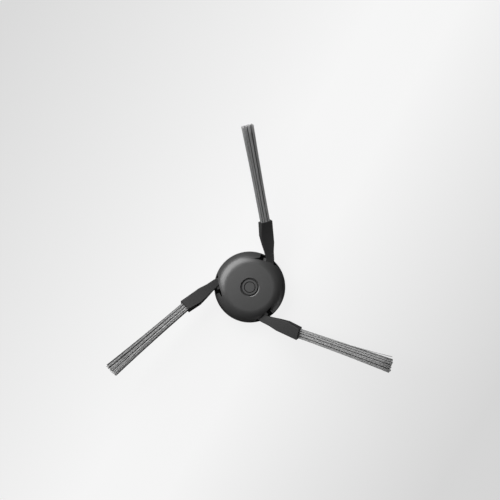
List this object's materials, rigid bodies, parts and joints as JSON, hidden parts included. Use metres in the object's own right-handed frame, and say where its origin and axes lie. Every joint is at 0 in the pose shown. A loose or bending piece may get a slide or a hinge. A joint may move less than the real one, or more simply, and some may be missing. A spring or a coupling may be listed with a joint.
{
  "type": "robot vacuum side brush",
  "caption": "Side brush of a robot vacuum: a domed hub with a keyed drive socket underneath, and rubber arms that leave its edge and hold flat tufts of grey bristles.",
  "frame": {"origin": "centre of the drive socket's mouth, on the plane that the hub's rim stands on", "axes": "+Z along the hub's axis towards the cap, the first tuft pointing about 10 degrees to the left of +Y"},
  "size_m": [0.1445, 0.127, 0.0292],
  "materials": {
    "hub_plastic": "satin black moulded plastic",
    "arm_rubber": "matte black rubber",
    "bristle_nylon": "grey nylon bristle"
  },
  "bodies": {
    "root": {"hub_cap": "hub_plastic", "hub_base": "hub_plastic", "rubber_arm_1": "arm_rubber", "rubber_arm_2": "arm_rubber", "rubber_arm_3": "arm_rubber", "bristle_tuft_1": "bristle_nylon", "bristle_tuft_2": "bristle_nylon", "bristle_tuft_3": "bristle_nylon"}
  },
  "joints": []
}
